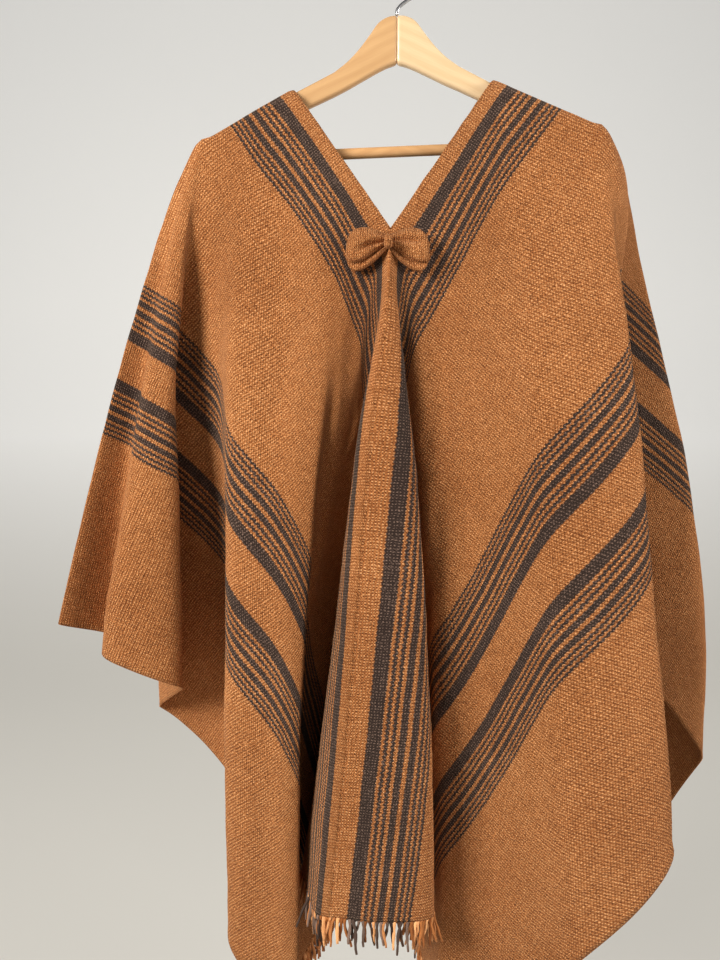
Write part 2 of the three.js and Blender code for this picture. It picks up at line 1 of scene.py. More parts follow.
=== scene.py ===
import math

import bmesh
import bpy
import numpy as np
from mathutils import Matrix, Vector


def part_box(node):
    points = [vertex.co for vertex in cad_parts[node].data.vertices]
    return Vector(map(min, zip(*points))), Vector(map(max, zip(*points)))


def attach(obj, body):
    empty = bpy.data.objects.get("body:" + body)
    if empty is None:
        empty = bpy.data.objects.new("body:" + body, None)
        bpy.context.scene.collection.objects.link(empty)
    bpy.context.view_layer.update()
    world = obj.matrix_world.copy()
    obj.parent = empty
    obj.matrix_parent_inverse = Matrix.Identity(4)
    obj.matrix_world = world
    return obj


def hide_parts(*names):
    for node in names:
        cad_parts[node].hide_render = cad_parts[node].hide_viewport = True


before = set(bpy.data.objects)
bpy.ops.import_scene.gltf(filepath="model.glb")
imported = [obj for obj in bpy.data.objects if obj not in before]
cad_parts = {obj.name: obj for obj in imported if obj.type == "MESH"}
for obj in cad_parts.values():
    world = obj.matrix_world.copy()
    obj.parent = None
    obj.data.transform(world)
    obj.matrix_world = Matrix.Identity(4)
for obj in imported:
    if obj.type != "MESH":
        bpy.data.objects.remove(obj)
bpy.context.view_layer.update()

MM = 0.001

# Cut of the cloth
PANEL_WIDTH = 655.0
HALF_LENGTH = 925.0
NECK_SLIT = 205.0
CLOTH = 2.0
SEAM_GAP = 0.24

# Hang of the cloth
ROLL = 9.5
NECK_POINT = (-8, -50, -285)
NAPE_POINT = (-8, 45, -285)
CORNERS = {
    "right": {"neck": (105, 0, -118), "shoulder": (205, -18, -166), "side": 1},
    "left": {"neck": (-113, 0, -128), "shoulder": (-196, -18, -180), "side": -1},
}
FOLD_LEVELS = np.array([0.0, 60.0, 200.0, 500.0, 1000.0])
RAY_LENGTH = 1160.0
RAY_STEP = 8.0
RAYS_PER_FOLD = 40
POINTS_AT_ONCE = 4000
SOFTENING = 3
WELD = 0.001

# Each row is one fold line: its name, where it starts along the neck and shoulder, its angle to
# the warp in the flat cut, and how far [across, back] it has moved at each level after the first.
RIGHT_FOLDS = [
    ("seam", "neck point", 0, ((-3, -22), (-18, -44), (-42, -68), (-92, -92))),
    ("pleat edge", "neck point", 8.5, ((8, -16), (24, -32), (42, -54), (52, -78))),
    ("pleat valley", "neck point", 21, ((4, -6), (0, 14), (0, 52), (0, 58))),
    ("valley side", "neck point", 28, ((12, -6), (16, 12), (24, 50), (30, 54))),
    ("centre rise", "neck point", 39, ((14, -3), (28, -9), (52, -14), (62, -16))),
    ("front neck", "neck", 42, ((4, -14), (18, -34), (50, -66), (95, -92))),
    ("front fold", "shoulder", 42.5, ((10, -6), (38, -18), (78, -36), (132, -54))),
    ("tuck in", "shoulder", 64, ((18, -6), (8, 0), (-36, 10), (-74, 10))),
    ("tuck out", "shoulder", 84, ((26, 1), (30, 10), (36, 25), (56, 30))),
    ("second tuck in", "shoulder", 104, ((30, 7), (16, 20), (-32, 48), (-56, 58))),
    ("side", "shoulder", 136, ((30, 11), (82, 26), (166, 42), (192, 44))),
    ("back edge", "shoulder", 147, ((8, 12), (34, 54), (86, 94), (130, 108))),
    ("back neck", "back neck", 144, ((4, 6), (20, 30), (55, 52), (95, 62))),
    ("back rise", "nape", 141, ((15, 2), (30, 12), (62, 22), (97, 30))),
    ("back valley side", "nape", 150, ((14, 3), (22, 0), (40, -8), (58, -12))),
    ("back valley", "nape", 157, ((8, 3), (10, 0), (16, -10), (22, -16))),
    ("back pleat", "nape", 168, ((10, 16), (38, 34), (84, 52), (114, 62))),
    ("back seam", "nape", 180, ((0, 26), (0, 46), (0, 80), (0, 88))),
]
LEFT_FOLDS = [
    ("seam", "neck point", 0, ((-3, -22), (-18, -44), (-42, -68), (-92, -92))),
    ("pleat edge", "neck point", 2.5, ((-6, -20), (-25, -40), (-55, -62), (-108, -80))),
    ("pleat flank", "neck point", 10, ((-8, -12), (-31, -22), (-68, -20), (-134, 72))),
    ("pleat valley", "neck point", 19, ((-7, -6), (-14, 14), (-24, 54), (-40, 60))),
    ("valley side", "neck point", 26, ((-14, -6), (-30, 12), (-54, 54), (-64, 60))),
    ("centre tuck", "neck point", 40, ((-15, -3), (-42, -3), (-104, 14), (-126, 14))),
    ("front ridge", 95, 41, ((-4, -12), (-16, -36), (-37, -60), (-52, -66))),
    ("front neck", "neck", 40, ((-4, -14), (-10, -35), (-20, -74), (-28, -86))),
    ("front fold", 245, 41.5, ((-8, -14), (-22, -34), (-36, -56), (-46, -66))),
    ("fold back", "shoulder", 46, ((-4, -4), (-6, 6), (-4, 36), (12, 58))),
    ("side valley", "shoulder", 56, ((-10, -4), (-40, 13), (-78, 38), (-84, 70))),
    ("sleeve ridge", "shoulder", 67, ((-12, -6), (-26, -16), (-34, -24), (-42, -34))),
    ("sleeve belly", "shoulder", 76, ((-18, -4), (-48, -18), (-108, -42), (-154, -60))),
    ("sleeve crease", "shoulder", 81, ((-22, 2), (-58, 0), (-112, -4), (-150, -4))),
    ("sleeve edge", "shoulder", 88, ((-30, 10), (-76, 0), (-152, -34), (-262, -52))),
    ("sleeve back", "shoulder", 95, ((-28, 14), (-66, 20), (-128, 14), (-210, 22))),
    ("back tuck", "shoulder", 110, ((-16, 16), (-34, 34), (-8, 60), (0, 84))),
    ("back ridge", "shoulder", 128, ((-16, 14), (-56, 46), (-100, 105), (40, 134))),
    ("back edge", "shoulder", 140, ((-8, 10), (-26, 46), (-14, 112), (-10, 130))),
    ("back neck", "back neck", 141, ((-4, 6), (-18, 34), (-40, 58), (-70, 70))),
    ("middle of the back", 470, 141, ((-6, 10), (-18, 46), (-58, 96), (-84, 106))),
    ("back rise", "nape", 141, ((-15, 2), (-30, 12), (-62, 22), (-97, 30))),
    ("back valley side", "nape", 150, ((-14, 3), (-22, 0), (-40, -8), (-58, -12))),
    ("back valley", "nape", 157, ((-8, 3), (-10, 0), (-16, -10), (-22, -16))),
    ("back pleat", "nape", 168, ((-10, 16), (-38, 34), (-84, 52), (-114, 62))),
    ("back seam", "nape", 180, ((0, 26), (0, 46), (0, 80), (0, 88))),
]
FOLDS = {"right": RIGHT_FOLDS, "left": LEFT_FOLDS}


def smooth_curve(knots, values, places):
    """A smooth curve through values at knots, read at places and straight beyond the last knot."""
    knots = np.asarray(knots, float)
    values = np.asarray(values, float)
    places = np.asarray(places, float)
    shape = (-1,) + (1,) * (values.ndim - 1)
    step = np.diff(knots).reshape(shape)
    slope = np.diff(values, axis=0) / step
    tangent = np.empty_like(values)
    tangent[0] = slope[0]
    tangent[-1] = slope[-1]
    tangent[1:-1] = (slope[:-1] * step[1:] + slope[1:] * step[:-1]) / (step[1:] + step[:-1])
    cell = np.clip(np.searchsorted(knots, places, side="right") - 1, 0, len(knots) - 2)
    width = step[cell]
    t = ((places - knots[cell]) / (knots[cell + 1] - knots[cell])).reshape(shape)
    beyond = np.maximum(places - knots[-1], 0).reshape(shape)
    t = np.minimum(t, 1)
    inside = (
        (1 + 2 * t) * (1 - t) ** 2 * values[cell]
        + t * (1 - t) ** 2 * width * tangent[cell]
        + t * t * (3 - 2 * t) * values[cell + 1]
        + t * t * (t - 1) * width * tangent[cell + 1]
    )
    return inside + tangent[-1] * beyond


def fold_rays(panel):
    """The panel's fold lines, filled in between its table's rows, as rows of 3-D points."""
    rows = FOLDS[panel]
    side = CORNERS[panel]["side"]
    neck = np.array(CORNERS[panel]["neck"], float)
    shoulder = np.array(CORNERS[panel]["shoulder"], float)
    length = np.linalg.norm(shoulder - neck)
    corner = {
        "neck point": 0.0,
        "neck": NECK_SLIT,
        "shoulder": NECK_SLIT + length,
        "back neck": NECK_SLIT + 2 * length,
        "nape": 2 * (NECK_SLIT + length),
    }
    begins = np.array([corner.get(row[1], row[1]) for row in rows], float)
    angles = np.array([row[2] for row in rows], float)
    moved = np.array([((0, 0),) + row[3] for row in rows], float)
    reach = np.linalg.norm(np.diff(moved[:, 3], axis=0), axis=1)
    spread = np.sqrt(reach + 0.7 * np.abs(np.diff(begins)) + 4)
    knots = np.concatenate([[0], np.cumsum(spread)])
    start, angle, moves = [], [], []
    for k in range(len(rows) - 1):
        places = np.linspace(knots[k], knots[k + 1], RAYS_PER_FOLD + 1)
        between = smooth_curve(knots, moved, places)
        slide = 0.6 * (begins[k + 1] - begins[k]) / RAYS_PER_FOLD
        arc = np.hypot(np.linalg.norm(np.diff(between[:, 3], axis=0), axis=1), slide)
        share = np.concatenate([[0], np.cumsum(arc)]) / arc.sum()
        last = RAYS_PER_FOLD + (k == len(rows) - 2)
        start.append((begins[k] + (begins[k + 1] - begins[k]) * share)[:last])
        angle.append((angles[k] + (angles[k + 1] - angles[k]) * share)[:last])
        moves.append(between[:last])
    start = np.concatenate(start)
    angle = np.radians(np.concatenate(angle))
    moves = np.concatenate(moves)
    along = np.maximum(NECK_SLIT - start, 0) - np.maximum(start - corner["back neck"], 0)
    behind = start > corner["shoulder"] + 1e-6
    out = np.where(behind, corner["back neck"] - start, start - NECK_SLIT).clip(0, length)
    top = neck + (shoulder - neck) * (out / length)[:, None]
    low = np.where((along > 0)[:, None], np.array(NECK_POINT, float), np.array(NAPE_POINT, float))
    top = top + (low - neck) * (np.abs(along) / NECK_SLIT)[:, None]
    drop = np.where(along == 0, 0, neck[2] - top[:, 2])
    turn = np.where(behind, math.pi, 0.0)
    tip = np.abs(start - corner["shoulder"]) < 1e-6
    turn[tip] = math.pi * (angle[tip] - angle[tip][0]) / (angle[tip][-1] - angle[tip][0])
    bend = np.stack([side * np.sin(turn), -np.cos(turn)], 1)
    reaches = np.arange(0, RAY_LENGTH + 1, RAY_STEP)
    path = smooth_curve(FOLD_LEVELS, moves.swapaxes(0, 1), reaches).swapaxes(0, 1)
    sideways = np.linalg.norm(np.diff(path, axis=1), axis=2) / RAY_STEP
    falls = np.sqrt(np.maximum(1 - sideways**2, 0.15)) * RAY_STEP
    fallen = np.concatenate([np.zeros((len(start), 1)), np.cumsum(falls, axis=1)], 1)
    total = drop[:, None] + fallen
    rolled = np.minimum(total / ROLL, math.pi / 2)
    bulge = ROLL * np.sin(rolled)
    points = np.empty(path.shape[:2] + (3,))
    points[..., 0] = top[:, 0, None] + path[..., 0] + bend[:, 0, None] * bulge
    points[..., 1] = top[:, 1, None] + path[..., 1] + bend[:, 1, None] * bulge
    points[..., 2] = (top[:, 2] + drop)[:, None] - ROLL * (1 - np.cos(rolled)) - total + ROLL * rolled
    return {"along": along, "out": out, "angle": angle, "points": points}


def hang(rays, along, out):
    """Where points of the flat panel hang, in millimetres. Along is less than 0 on the back."""
    shape = along.shape
    along, out = along.ravel(), out.ravel()
    cos, sin = np.cos(rays["angle"]), np.sin(rays["angle"])
    hung = np.empty((len(along), 3))
    for first in range(0, len(along), POINTS_AT_ONCE):
        part = slice(first, first + POINTS_AT_ONCE)
        s, t = along[part], out[part]
        beyond = cos * (t[:, None] - rays["out"]) - sin * (s[:, None] - rays["along"])
        passed = beyond >= -1e-9
        passed[:, 0] = True
        short = ~passed
        short[:, -1] = True
        front = np.argmax(short, axis=1) - 1
        back = passed.shape[1] - 1 - np.argmax(passed[:, ::-1], axis=1)
        ray = np.clip(np.where(s >= 0, front, back), 0, len(cos) - 2)
        here = np.arange(len(ray))
        near, far = beyond[here, ray], beyond[here, ray + 1]
        span = near - far
        share = np.clip(near / np.where(np.abs(span) < 1e-9, 1, span), 0, 1)[:, None]

        def on_ray(k):
            reach = (s - rays["along"][k]) * cos[k] + (t - rays["out"][k]) * sin[k]
            cell = np.clip(reach / RAY_STEP, 0, rays["points"].shape[1] - 1.001)
            low = cell.astype(int)
            part_way = (cell - low)[:, None]
            return rays["points"][k, low] * (1 - part_way) + rays["points"][k, low + 1] * part_way

        hung[part] = on_ray(ray) * (1 - share) + on_ray(ray + 1) * share
    return hung.reshape(shape + (3,))


def ease(value, low, high):
    """0 up to low, 1 from high on and smooth between them."""
    t = np.clip((value - low) / (high - low), 0, 1)
    return t * t * (3 - 2 * t)


# The grid lines of the cloth: close together over the arms, 6 mm apart elsewhere
FRONT_LINES = np.concatenate([np.arange(0, 24, 2.0), np.linspace(24, HALF_LENGTH, 151)])
ALONG = np.concatenate([FRONT_LINES[::-1], -FRONT_LINES[1:]])
OUT = np.linspace(0, PANEL_WIDTH, 110)
GRID_ALONG, GRID_OUT = np.meshgrid(ALONG, OUT, indexing="ij")

# Small soft creases on the two panels: the middle in the flat cut, the turn of its line from the
# warp in degrees, half its length, its width and its height (less than 0 for a trough).
CREASES = {
    "right": [
        (330, 150, 28, 90, 13, 3.0),
        (360, 190, 34, 70, 11, -2.5),
        (300, 245, 40, 80, 12, 2.6),
        (455, 215, 22, 110, 14, -2.6),
        (560, 300, 30, 120, 16, 2.8),
        (640, 140, 12, 120, 14, -2.4),
        (720, 380, 36, 110, 18, 3.0),
        (250, 90, 50, 55, 9, -2.2),
        (180, 150, 62, 60, 10, 2.2),
        (120, 190, 70, 55, 9, -2.0),
        (-150, 170, -66, 60, 10, 2.2),
        (-320, 200, -36, 90, 13, -2.6),
        (-420, 260, -30, 110, 15, 2.8),
        (-560, 180, -20, 120, 15, -2.6),
        (-640, 400, -34, 120, 18, 3.0),
        (-280, 80, -24, 70, 11, 2.4),
        (372, 112, 62, 36, 5, 2.4),
        (350, 142, 14, 28, 5, -2.2),
        (396, 132, 100, 32, 6, 2.2),
        (420, 96, 40, 44, 7, -2.0),
    ],
    "left": [
        (300, 120, 34, 80, 12, 2.8),
        (345, 165, 40, 75, 11, -2.6),
        (420, 120, 18, 100, 13, 2.4),
        (250, 200, 52, 60, 10, -2.2),
        (150, 250, 66, 80, 12, 2.6),
        (110, 330, 80, 90, 13, -2.8),
        (200, 420, 74, 110, 15, 2.8),
        (90, 480, 86, 100, 14, -2.6),
        (520, 260, 34, 120, 15, 2.6),
        (660, 160, 20, 120, 15, -2.4),
        (60, 150, 84, 50, 9, 1.8),
        (-160, 180, -64, 60, 10, 2.2),
        (-300, 220, -38, 90, 13, -2.6),
        (-440, 150, -22, 110, 14, 2.8),
        (-520, 320, -36, 120, 16, -2.8),
        (-260, 420, -70, 110, 15, 2.8),
        (392, 118, 64, 44, 6, 2.4),
        (418, 96, 36, 36, 6, -2.2),
        (440, 150, 84, 40, 7, 2.0),
    ],
}


def relief(panel):
    """How far each point of the cloth stands out from the hung form, in millimetres."""
    s, t = GRID_ALONG, GRID_OUT
    height = np.zeros(s.shape)
    for along, out, turn, half, width, rise in CREASES[panel]:
        c, d = math.cos(math.radians(turn)), math.sin(math.radians(turn))
        down = (s - along) * c + (t - out) * d
        over = -(s - along) * d + (t - out) * c + 0.0009 * down * down
        height += rise * np.exp(-((over / width) ** 2)) * np.exp(-((down / half) ** 4))
    shift = 1.3 if panel == "left" else 0.0
    height += 1.1 * np.sin(t / 41 + 0.6 * np.sin(s / 90 + shift) + shift) * ease(np.abs(s), 120, 500)
    height += 0.5 * np.sin(s / 33 + t / 57 + shift) * np.sin(t / 29 - s / 71)
    height += 0.25 * np.sin(s / 11.5 + 2 * shift) * np.sin(t / 13.7 + s / 40)
    height += 2.0 * np.sin(t / 31 + 1.7 * np.sin(t / 83) + shift) * ease(np.abs(s), 820, HALF_LENGTH)
    height += 1.5 * np.sin(s / 47 + shift) * ease(t, 610, PANEL_WIDTH) * ease(np.abs(s), 60, 160)
    free = ease(np.abs(s), 24, 80) * ease(t, 0, 36)
    return height * free


def outward(points, side):
    """The outward direction at each point of a grid that runs from the front hem to the back."""
    down = -np.gradient(points, axis=0)
    across = np.gradient(points, axis=1)
    facing = np.cross(down, across) * side
    facing /= np.maximum(np.linalg.norm(facing, axis=2, keepdims=True), 1e-6)
    eased = facing.copy()
    eased[1:-1, 1:-1] += 0.5 * (facing[:-2, 1:-1] + facing[2:, 1:-1] + facing[1:-1, :-2] + facing[1:-1, 2:])
    return eased / np.maximum(np.linalg.norm(eased, axis=2, keepdims=True), 1e-6)


def soften(points, passes):
    """Rounds the folds off, less near the arms, with the seam line and the neck edge kept."""
    free = ease(np.abs(ALONG), 30, 110)[:, None, None]
    edge = ease(np.abs(ALONG), 230, 300)[:, None]
    for _ in range(passes):
        eased = points.copy()
        eased[:, 1:-1] = (points[:, :-2] + 2 * points[:, 1:-1] + points[:, 2:]) / 4
        lengthways = eased.copy()
        lengthways[1:-1] = (eased[:-2] + 2 * eased[1:-1] + eased[2:]) / 4
        moved = (lengthways - points) * free
        moved[:, 0] *= edge
        points = points + moved
    return points


def cloth_points(panel):
    """The panel's outer face in millimetres, with its creases, on the grid of the cut."""
    side = CORNERS[panel]["side"]
    points = soften(hang(fold_rays(panel), GRID_ALONG, GRID_OUT), SOFTENING)
    points = points + outward(points, side) * relief(panel)[..., None]
    sewn = np.abs(ALONG) > NECK_SLIT - 20
    points[sewn, 0, 0] += side * SEAM_GAP / 2
    return points


def link(name, mesh):
    piece = bpy.data.objects.new(name, mesh)
    bpy.context.collection.objects.link(piece)
    return piece


def grid_mesh(name, points, cut):
    """A mesh through a grid of points in metres, with the place in the cut as its UV map."""
    rows, columns = points.shape[:2]
    bm = bmesh.new()
    bmesh.ops.create_grid(bm, x_segments=columns - 1, y_segments=rows - 1, size=0.5)
    bm.loops.layers.uv.new("cut")
    mesh = bpy.data.meshes.new(name)
    bm.to_mesh(mesh)
    bm.free()
    flat = np.empty(len(mesh.vertices) * 3)
    mesh.vertices.foreach_get("co", flat)
    flat = flat.reshape(-1, 3)
    column = np.rint((flat[:, 0] + 0.5) * (columns - 1)).astype(int)
    row = np.rint((flat[:, 1] + 0.5) * (rows - 1)).astype(int)
    mesh.vertices.foreach_set("co", points[row, column].ravel())
    corner = np.empty(len(mesh.loops), int)
    mesh.loops.foreach_get("vertex_index", corner)
    mesh.uv_layers["cut"].data.foreach_set("uv", cut[row, column][corner].ravel())
    mesh.update()
    return mesh


def smooth_faces(mesh):
    mesh.polygons.foreach_set("use_smooth", [True] * len(mesh.polygons))
    mesh.update()


def make_panel(panel):
    """One panel as a thin open shell whose outer face points away from the garment's inside."""
    side = CORNERS[panel]["side"]
    points = cloth_points(panel)
    cut = np.stack([GRID_OUT, GRID_ALONG], 2) * MM
    mesh = grid_mesh(f"panel_{panel}_cloth", points * MM, cut)
    face = mesh.polygons[len(mesh.polygons) // 3]
    row, column = np.unravel_index(
        np.argmin(np.linalg.norm(points * MM - np.array(face.center), axis=2)), points.shape[:2])
    if np.dot(face.normal, outward(points, side)[row, column]) < 0:
        mesh.flip_normals()
    smooth_faces(mesh)
    piece = link(mesh.name, mesh)
    wall = piece.modifiers.new("wall", "SOLIDIFY")
    wall.thickness = CLOTH * MM
    wall.offset = -1
    return piece, points


def add_loft(bm, rings, cut=None):
    """A closed body through rings of points; each end is drawn together to its middle.

    Its UV map is one place of the cut for a yarn, or else the way around and along in metres.
    """
    rings = np.asarray(rings, float)
    ends = [rings[0].mean(axis=0), rings[-1].mean(axis=0)]
    rings = np.concatenate([np.broadcast_to(ends[0], (1,) + rings[0].shape), rings,
                            np.broadcast_to(ends[1], (1,) + rings[0].shape)])
    rings = np.concatenate([rings, rings[:, :1]], axis=1)
    rows, columns = rings.shape[:2]
    made = bmesh.ops.create_grid(bm, x_segments=columns - 1, y_segments=rows - 1, size=0.5)["verts"]
    layer = bm.loops.layers.uv.get("cut") or bm.loops.layers.uv.new("cut")
    around = np.linalg.norm(np.diff(rings[rows // 2], axis=0), axis=1).sum() * MM / (columns - 1)
    lengthways = np.linalg.norm(np.diff(rings.mean(axis=1), axis=0), axis=1)
    lengthways = np.concatenate([[0], np.cumsum(lengthways)]) * MM
    spot = {}
    for vertex in made:
        column = round((vertex.co.x + 0.5) * (columns - 1))
        row = round((vertex.co.y + 0.5) * (rows - 1))
        vertex.co = Vector(rings[row, column] * MM)
        spot[vertex] = cut or (column * around, lengthways[row])
    for face in {face for vertex in made for face in vertex.link_faces}:
        for loop in face.loops:
            loop[layer].uv = spot[loop.vert]


def finish_lofts(name, bm):
    bmesh.ops.remove_doubles(bm, verts=bm.verts, dist=WELD * MM)
    bmesh.ops.recalc_face_normals(bm, faces=bm.faces)
    mesh = bpy.data.meshes.new(name)
    bm.to_mesh(mesh)
    bm.free()
    smooth_faces(mesh)
    return link(name, mesh)


def sweep(path, radii, sides, twist=0.0, ply=0.0):
    """Rings of a round bar along a path, or of a twisted yarn where ply is more than 0."""
    path = np.asarray(path, float)
    tangent = np.gradient(path, axis=0)
    tangent /= np.linalg.norm(tangent, axis=1, keepdims=True)
    guide = np.array([0.0, 1.0, 0.0]) if abs(tangent[0, 1]) < 0.9 else np.array([1.0, 0.0, 0.0])
    rings = []
    for k, (point, way) in enumerate(zip(path, tangent)):
        guide = guide - way * np.dot(guide, way)
        guide /= np.linalg.norm(guide)
        other = np.cross(way, guide)
        turn = np.arange(sides) / sides * 2 * math.pi
        bulge = radii[k] * (1 + ply * np.cos(2 * (turn - twist * k)))
        rings.append(point + np.outer(bulge * np.cos(turn), other) + np.outer(bulge * np.sin(turn), guide))
    return rings


# Fringe
FRINGE_LENGTH = 27.0
FRINGE_PER_HEM = 190
STRAND_POINTS = 8
STRAND_RADII = [1.75, 1.6, 1.5, 1.0]


def along_row(row, place):
    """The value at a place between two columns of a grid's row."""
    cell = min(int(place), len(row) - 2)
    share = place - cell
    return row[cell] * (1 - share) + row[cell + 1] * share


def make_fringe(name, panel, points, hem):
    """The warp ends left at one hem, as soft twisted yarns that each lie a little differently."""
    side = CORNERS[panel]["side"]
    row, inside = (0, 3) if hem > 0 else (len(ALONG) - 1, len(ALONG) - 4)
    facing = outward(points, side)[row]
    edge = points[row] - facing * CLOTH / 2
    leaving = points[row] - points[inside]
    leaving /= np.linalg.norm(leaving, axis=1, keepdims=True)
    across = np.gradient(points[row], axis=0)
    across /= np.linalg.norm(across, axis=1, keepdims=True)
    rng = np.random.default_rng(int(abs(hem)) + (7 if hem > 0 else 3) + side)
    bm = bmesh.new()
    for k in range(FRINGE_PER_HEM):
        out = PANEL_WIDTH * (k + 0.5 + rng.uniform(-0.25, 0.25)) / FRINGE_PER_HEM
        place = out / PANEL_WIDTH * (len(OUT) - 1)
        root, hanging = along_row(edge, place), along_row(leaving, place)
        aside, forward = along_row(across, place), along_row(facing, place)
        length = FRINGE_LENGTH * rng.uniform(0.85, 1.22)
        sway = rng.normal(0, 0.15)
        lift = rng.normal(0.02, 0.14)
        curl = rng.uniform(-0.5, 0.5)
        path = []
        for step in range(STRAND_POINTS):
            t = step / (STRAND_POINTS - 1)
            way = hanging * (1 - 0.55 * t) + np.array([0, 0, -0.55 * t])
            way = way / np.linalg.norm(way)
            bow = sway * t + 0.12 * curl * math.sin(t * math.pi * 1.6)
            path.append(root + way * (length * t - 1.0) + aside * length * bow + forward * length * lift * t)
        radii = np.interp(np.linspace(0, 1, STRAND_POINTS), [0, 0.2, 0.8, 1], STRAND_RADII)
        rings = sweep(path, radii * rng.uniform(0.85, 1.15), 7, twist=0.9, ply=0.22)
        add_loft(bm, rings, (out * MM, hem * MM))
    return finish_lofts(name, bm)


# Bow. A section is its place along the loop, its height, its depth and how far it hangs down. A
# pleat is its angle, its drift, its depth, its width and how far it reaches, as a share of the loop.
BOW_X, BOW_Z = -11.0, -299.0
LOOP_START = 0.6
LOOP_SECTIONS = [
    (0, 13, 10, -3), (5, 21, 14, -2), (11, 30, 17, -0.5), (19, 38, 19, 1.5),
    (27, 42, 18, 3.5), (35, 38, 15, 5), (39.5, 27, 10, 6), (41.4, 15, 5, 6.5),
]
KNOT_SECTIONS = [
    (-4.2, 8, 10, -2), (-2.8, 12, 16, -2), (0, 14, 19, -2), (2.8, 12, 16, -2), (4.2, 8, 10, -2),
]
RIGHT_PLEATS = [
    (1.30, -0.25, 0.66, 0.20, 0.95), (1.75, 0.25, 0.30, 0.16, 0.60), (2.00, 0.60, 0.80, 0.20, 1.25),
]
LEFT_PLEATS = [
    (0.80, -0.20, 0.34, 0.16, 0.55), (1.45, 0.12, 0.72, 0.20, 0.85), (1.90, 0.75, 0.82, 0.20, 1.30),
]
KNOT_PLEATS = [(1.2, 0, 0.14, 0.22, 1.5), (1.9, 0, 0.14, 0.22, 1.5)]
BOW_ROWS = 64
BOW_SIDES = 96


def make_bow_piece(name, sections, side, start, node, pleats):
    """A loop or the knot, with its back where its solid's is and pleats drawn in to the knot."""
    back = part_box(node)[1][1] / MM
    table = np.array(sections, float)
    places = np.linspace(table[0, 0], table[-1, 0], BOW_ROWS)
    height, depth, drop = (smooth_curve(table[:, 0], table[:, c], places) for c in (1, 2, 3))
    turn = np.arange(BOW_SIDES) / BOW_SIDES * 2 * math.pi
    rings = []
    for place, tall, deep, fall in zip(places, height, depth, drop):
        share = (place - places[0]) / (places[-1] - places[0])
        pinch = np.zeros(turn.shape)
        for angle, drift, amount, width, reach in pleats:
            angle = angle + drift * share
            fade = 1 - ease(share, reach - 0.4, reach)
            pinch += amount * fade * np.exp(-((np.angle(np.exp(1j * (turn - angle))) / width) ** 2))
        y = back - table[:, 2].max() / 2 - (table[:, 2].max() - deep) * 0.1
        rings.append(np.stack([
            np.full(turn.shape, BOW_X + side * (start + place)),
            y - deep / 2 * np.sin(turn) * (1 - pinch),
            BOW_Z - fall + tall / 2 * np.cos(turn) * (1 - 0.45 * pinch * share),
        ], 1))
    bm = bmesh.new()
    add_loft(bm, rings)
    return finish_lofts(name, bm)


# Hanger
ARM_THICKNESS = 10.0
ARM_ROUNDING = 4.0
ARM_SEAT = 4.9
HALF_JOINT = 0.15
ARM_PROFILE = [
    (0, -54, -102), (9, -54.6, -104), (20, -60, -108), (29, -71, -112),
    (38, -81.5, -116), (50, -93, -121.5), (66, -104, -128),
]
ARM_HEIGHT = 22.0
TIP_LENGTH = 28.5
TIP_DROP = 34.0
BAR_RADIUS = 5.5
BAR_DROP = 20.0
WIRE_RADIUS = 1.9
HOOK_RADIUS = 21.9
HOOK_START = -50
HOOK_END = 205


def rounded_section(half, top, bottom, rounding):
    """A rounded rectangle as [depth, height] points."""
    rounding = min(rounding, half - 0.2, (top - bottom) / 2 - 0.2)
    corners = [(half, top, 0), (-half, top, 90), (-half, bottom, 180), (half, bottom, 270)]
    points = []
    for y, z, begin in corners:
        centre_y = y - math.copysign(rounding, y)
        centre_z = z - rounding if z == top else z + rounding
        for step in range(6):
            turn = math.radians(begin + 90 * step / 5)
            points.append((centre_y + rounding * math.cos(turn), centre_z + rounding * math.sin(turn)))
    return points


def make_arm(name, panel):
    """One bowed arm of the hanger, from the middle joint to its cut-off tip."""
    corner = CORNERS[panel]
    neck, shoulder, side = corner["neck"], corner["shoulder"], corner["side"]
    neck_x, tip_x = abs(neck[0]), abs(shoulder[0])
    tilt = (neck[2] - CORNERS["right"]["neck"][2]) / neck_x
    profile = np.array(ARM_PROFILE, float)
    joint_x = np.concatenate([[HALF_JOINT, 1.2, 3], np.linspace(5, profile[-1, 0], 26)])

    def top_at(x):
        return neck[2] + (shoulder[2] - neck[2]) * (x - neck_x) / (tip_x - neck_x) - ARM_SEAT

    stations = []
    for x in joint_x:
        _, top, bottom = smooth_curve(profile[:, 0], profile, np.array([x]))[0]
        ends = 1.4 * max(0, 1 - (x - HALF_JOINT) / 1.5)
        stations.append((x, top + tilt * x - ends, bottom + tilt * x + ends, ends))
    x0, top0, bottom0, _ = stations[-1]
    for x in np.linspace(x0, neck_x, 12)[1:]:
        share = (x - x0) / (neck_x - x0)
        top = top0 + share * (top_at(neck_x) - top0)
        bottom = bottom0 + share * (top_at(neck_x) - ARM_HEIGHT - bottom0)
        stations.append((x, top, bottom, 0))
    tip_start = tip_x - TIP_LENGTH
    for x in np.linspace(neck_x, tip_start, 14)[1:]:
        stations.append((x, top_at(x), top_at(x) - ARM_HEIGHT, 0))
    for x in (tip_start + 0.3, tip_start + 1.5, tip_x - 8, tip_x - 2, tip_x):
        stations.append((x, top_at(x), shoulder[2] - TIP_DROP, 0))
    stations.append((tip_x + 1, top_at(tip_x) - 2, shoulder[2] - TIP_DROP + 2, 1.4))
    rings = []
    for x, top, bottom, ends in stations:
        forward = shoulder[1] * np.clip((x - neck_x) / (tip_x - neck_x), 0, 1)
        section = rounded_section(ARM_THICKNESS / 2 - ends, top, bottom, ARM_ROUNDING)
        rings.append([(side * x, forward + y, z) for y, z in section])
    bm = bmesh.new()
    add_loft(bm, rings)
    return finish_lofts(name, bm)


